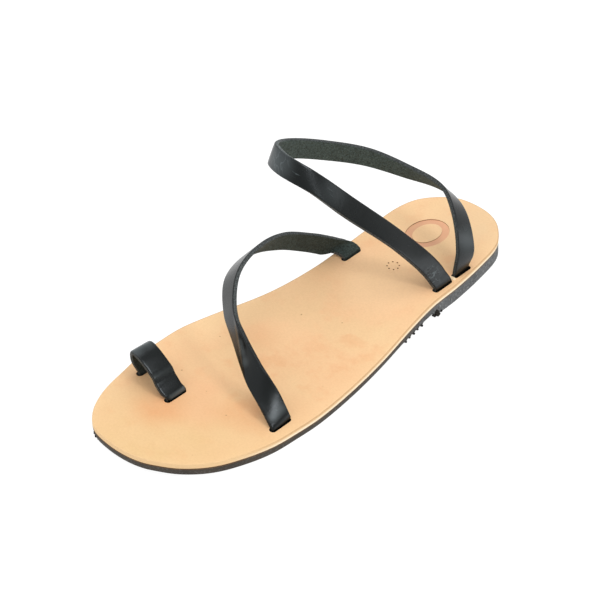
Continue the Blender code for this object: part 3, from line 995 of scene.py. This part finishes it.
rubberRims = [  # inset, share of depth, lift
    (0.55, 0.0, 0.0), (0.25, 0.0, -0.03), (0.1, 0.0, -0.12), (0.05, 0.0, -0.3), (0.0, 0.5, 0.0),
    (-0.1, 1.0, 0.35), (0.0, 1.0, 0.1), (0.4, 1.0, 0.0)]
tuckKeys = [row[0] for row in outsoleLook["tuck"]]
tuckRows = [row[1] for row in outsoleLook["tuck"]]


def rubberTuck(along):
    return through(tuckRows, tuckKeys, along)


rubberBody = layerBody(rubberStations(), rubberRims, rubberHeight, rubberTuck,
                       columns=14, wallSlot=0, underSlot=1)
outsole = toObject("outsole_rubber", rubberBody, darkRubber, treadShade)


def grooveCutter():
    work = bmesh.new()
    for first, last, pitch in outsoleLook["grooves"]:
        along = first
        while along <= last + 0.01:
            inner, outer = edgesAt(along)
            middle, width = (inner + outer) / 2.0, outsoleLook["grooveWidth"]
            ring = stadium(outer - inner - 2.0 * outsoleLook["rim"], width, sides=5)
            rings = []
            for height, draw in ((-1.0, 0.8), (0.0, 0.3), (outsoleLook["grooveDepth"], -0.3)):
                rings.append([work.verts.new(put(along + x * (1.0 + draw / width), middle + s, height))
                              for s, x in ring])
            ringTube(work, rings)
            along += pitch
    return closedObject("grooveCutter", work, treadShade)


# black teeth and lugs that stand out of the rubber wall; their black is painted shade, and the lugs by
# the heel breast also paint the breast's shadow

soleLugs = {
    "teeth": (88.8, 3.6), "toothSizes": (1.05, 0.8, 1.0, 0.75, 0.9), "toothDrop": 0.6, "toothLow": 0.8,
    "girth": 1.0, "top": 0.5, "depth": 1.5, "droop": -0.35, "inset": (0.5, 0.35),
    "lugs": [  # along, side, height, size; by the heel breast, painting its shadow
        (76.0, 1.0, 2.1, 2.1), (77.7, 1.0, 1.3, 1.2), (72.2, 1.0, 1.1, 1.0),
        (68.0, 1.0, 0.6, 0.6), (76.4, -1.0, 1.6, 1.6)],
    "knobs": [  # along, across, height, size
        (254.8, -15.1, 3.2, 1.5), (256.2, -12.9, 3.4, 1.4), (256.3, -11.5, 2.8, 1.2)],
    "knobWay": (1.0, -0.8, 0.0),
}


def lugTree():
    tree = newGrowth("soleLugs", [("Girth", "Float"), ("Top", "Float"), ("Depth", "Float"),
                                  ("Finish", "Material")])
    n = Nest(tree)
    lug = n.cone(6, n.given("Girth"), n.given("Top"), n.given("Depth"))
    points = n.add("GeometryNodeMeshToPoints", {}, {"Mesh": n.given("Geometry")})
    turn = n.toward(n.named("outward", "FLOAT_VECTOR"))
    n.settle(n.spread(points, lug, turn, n.named("size")))
    return tree


def lugBody():
    look, work = soleLugs, bmesh.new()
    outward = work.verts.layers.float_vector.new("outward")
    girth = work.verts.layers.float.new("size")

    def plant(along, across, height, way, size):
        here = work.verts.new(put(along, across, height))
        here[outward] = put(*way) - put(0.0, 0.0, 0.0)
        here[girth] = size

    def plantOnEdge(along, side, height, size):
        lean = edgesAt(along + 0.5) - edgesAt(along - 0.5)
        edge, slant = (edgesAt(along)[1], -lean[1]) if side > 0.0 else (edgesAt(along)[0], lean[0])
        sink, share = look["inset"]
        across = edge - side * (sink + rubberTuck(along) + share * size)
        plant(along, across, height, (slant, side, look["droop"]), size)

    first, pitch = look["teeth"]
    for i, size in enumerate(look["toothSizes"]):
        along = first + i * pitch
        height = rubberTop(along) - soleSizes["rubber"] - look["toothDrop"]
        for side in (-1.0, 1.0):
            plantOnEdge(along, side, max(look["toothLow"], height), size)
    for along, side, height, size in look["lugs"]:
        plantOnEdge(along, side, height, size)
    for along, across, height, size in look["knobs"]:
        plant(along, across, height, look["knobWay"], size)
    made = toObject("outsole_lugs", work)
    return grown(made, lugTree(), {"Girth": look["girth"] * mm, "Top": look["top"] * mm,
                                   "Depth": look["depth"] * mm, "Finish": treadShade})


lugs = lugBody()


def shadeAt(along, across, height):
    breast, plain = soleSizes["breast"], rubberTop(along) - soleSizes["rubber"]
    start, run = outsoleLook["ribShade"]
    reach, top, fade = outsoleLook["breastShade"]
    rib = ease((plain - height - start) / run) if along > breast + outsoleLook["draft"] / 2.0 else 0.0
    return max(rib, math.exp(-((along - breast) / reach) ** 2) * ease((top - height) / fade))


cutWith(outsole, grooveCutter())
greyStart, greyLength = outsoleLook["greyEnd"]
setField(outsole, "heel", lambda s, x, z: 1.0 - ease((s - greyStart) / greyLength))
setField(outsole, "fall", lambda s, x, z: (rubberTop(s) - z) / soleSizes["rubber"])
setField(outsole, "shade", shadeAt)
smoothShade(outsole, 35.0)
print("outsole:", len(outsole.data.polygons), "faces")


# floor, light and camera

studio = {
    "floor": 8.0, "floorDrop": 0.2, "floorTone": 0.15, "floorGrain": 0.985, "floorGlow": 0.95,
    "skyDark": (0.88, 0.0, 0.47), "skyBand": (0.9, 0.3), "skyTones": (0.57, 0.94),
    "sideGlow": (0.787, 0.615, 0.052), "sideBand": (0.955, 0.985), "sideTones": (0.0, 2.2),
    "lamps": [  # where, aimed at, size, power
        ((0.05, -0.05, 1.35), (0.0, 0.0, 0.0), 1.0, 3.8),
        ((0.868, 0.03, 0.95), (0.0, 0.0, 0.03), 0.3, 3.4)],
    "eye": (0.527504, -0.55996, 0.64452), "aim": (-0.016946, 0.00929, 0.00665),
    "lens": 120.0, "sensor": 36.0, "clip": (0.05, 20.0),
}


def floorFinish(n):
    light = studio["floorTone"]
    dark = light * studio["floorGrain"]
    grain = n.speck(n.objectAt(), 40.0, 2.0)
    colour = n.tint(grain, (light, light, light, 1.0), (dark, dark, dark, 1.0))
    return {**skin(colour, 0.9, 0.1), "Emission Color": (1.0, 1.0, 1.0, 1.0),
            "Emission Strength": studio["floorGlow"]}


work = bmesh.new()
bmesh.ops.create_grid(work, x_segments=1, y_segments=1, size=studio["floor"])
bmesh.ops.translate(work, verts=work.verts, vec=(0.0, 0.0, -studio["floorDrop"] * mm))
floor = toObject("floor", work, newFinish("floorPaper", floorFinish))

world = bpy.data.worlds.new("studio")
scene.world = world
world.use_nodes = True
world.node_tree.nodes.clear()
sky = Nest(world.node_tree)
way = sky.add("ShaderNodeTexCoord", out="Generated")
glow = 0.0
for lobe, span, tones in (("skyDark", "skyBand", "skyTones"), ("sideGlow", "sideBand", "sideTones")):
    toward = sky.add("ShaderNodeVectorMath", {"operation": "DOT_PRODUCT"},
                     {0: way, 1: studio[lobe]}, "Value")
    glow = sky.band(toward, *studio[span], *studio[tones]) + glow
shine = sky.add("ShaderNodeBackground", {}, {"Color": (1.0, 1.0, 1.0, 1.0), "Strength": glow})
sky.add("ShaderNodeOutputWorld", {}, {"Surface": shine})
scene.view_settings.view_transform = "Standard"


def aimed(made, eye, aim):
    made.location = eye
    made.rotation_euler = (Vector(aim) - Vector(eye)).to_track_quat("-Z", "Y").to_euler()
    scene.collection.objects.link(made)
    return made


for number, (eye, aim, size, power) in enumerate(studio["lamps"]):
    lamp = bpy.data.lights.new("softbox%d" % number, "AREA")
    lamp.shape, lamp.size, lamp.energy = "SQUARE", size, power
    aimed(bpy.data.objects.new(lamp.name, lamp), eye, aim)

lens = bpy.data.cameras.new("camera")
lens.lens, lens.sensor_width, lens.sensor_fit = studio["lens"], studio["sensor"], "AUTO"
lens.clip_start, lens.clip_end = studio["clip"]
scene.camera = aimed(bpy.data.objects.new("camera", lens), studio["eye"], studio["aim"])


# hand over

handed = [  # piece, node that it stands for, slot
    (footbed, "footbed", "tan_leather"), (bridge, None, "tan_leather"),
    (outsole, "outsole", "rubber"), (lugs, None, "rubber"),
    (loopPiece, "toe_loop", "black_leather"), (forefootPiece, "forefoot_strap", "black_leather"),
    (anklePiece, "ankle_strap", "black_leather"), (loopFuzz, None, "black_leather"),
    (forefootFuzz, None, "black_leather"), (ankleFuzz, None, "black_leather")]
for piece, node, slotName in handed:
    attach(piece, "root")
    if node:
        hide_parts(node)
